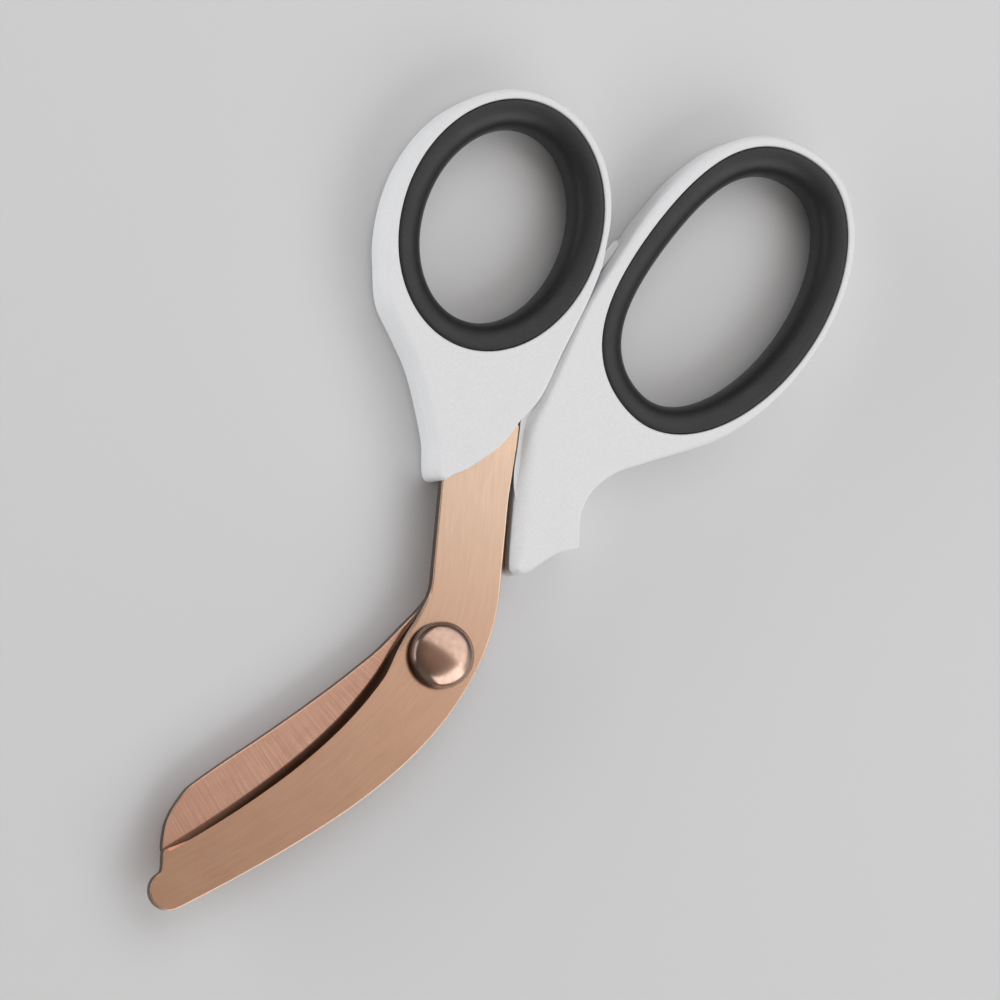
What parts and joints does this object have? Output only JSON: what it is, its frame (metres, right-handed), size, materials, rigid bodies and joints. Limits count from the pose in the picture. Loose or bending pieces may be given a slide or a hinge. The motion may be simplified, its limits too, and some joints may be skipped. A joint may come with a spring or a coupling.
{
  "type": "bandage scissors",
  "caption": "Bandage scissors with bent, bevelled blades, a blunt foot on the lower tip, a domed pivot, and moulded finger bows with soft liners.",
  "frame": {"origin": "centre of the flat underside of the pivot nut, on the plane that the closed scissors lie on", "axes": "+Z along the pivot axis towards the domed head, +Y from the blade tips towards the finger bows, +X towards the finger bow's side"},
  "size_m": [0.0859, 0.1892, 0.0114],
  "materials": {
    "blade_steel": "brushed, copper-toned coating",
    "pivot_metal": "polished, copper-toned coating",
    "washer_metal": "plain",
    "handle_plastic": "satin moulded",
    "liner_rubber": "soft matt"
  },
  "bodies": {
    "finger_half": {"back_blade": "blade_steel", "finger_handle": "handle_plastic", "finger_ring_grip": "liner_rubber", "pivot_screw": "pivot_metal", "pivot_nut": "pivot_metal", "friction_washer": "washer_metal"},
    "thumb_half": {"front_blade": "blade_steel", "thumb_handle": "handle_plastic", "thumb_ring_grip": "liner_rubber"}
  },
  "joints": [
    {"name": "blade_pivot", "type": "hinge", "parent": "finger_half", "child": "thumb_half", "pos_m": [0, 0, 0], "axis": [0, 0, 1], "range_deg": [0, 60]}
  ]
}
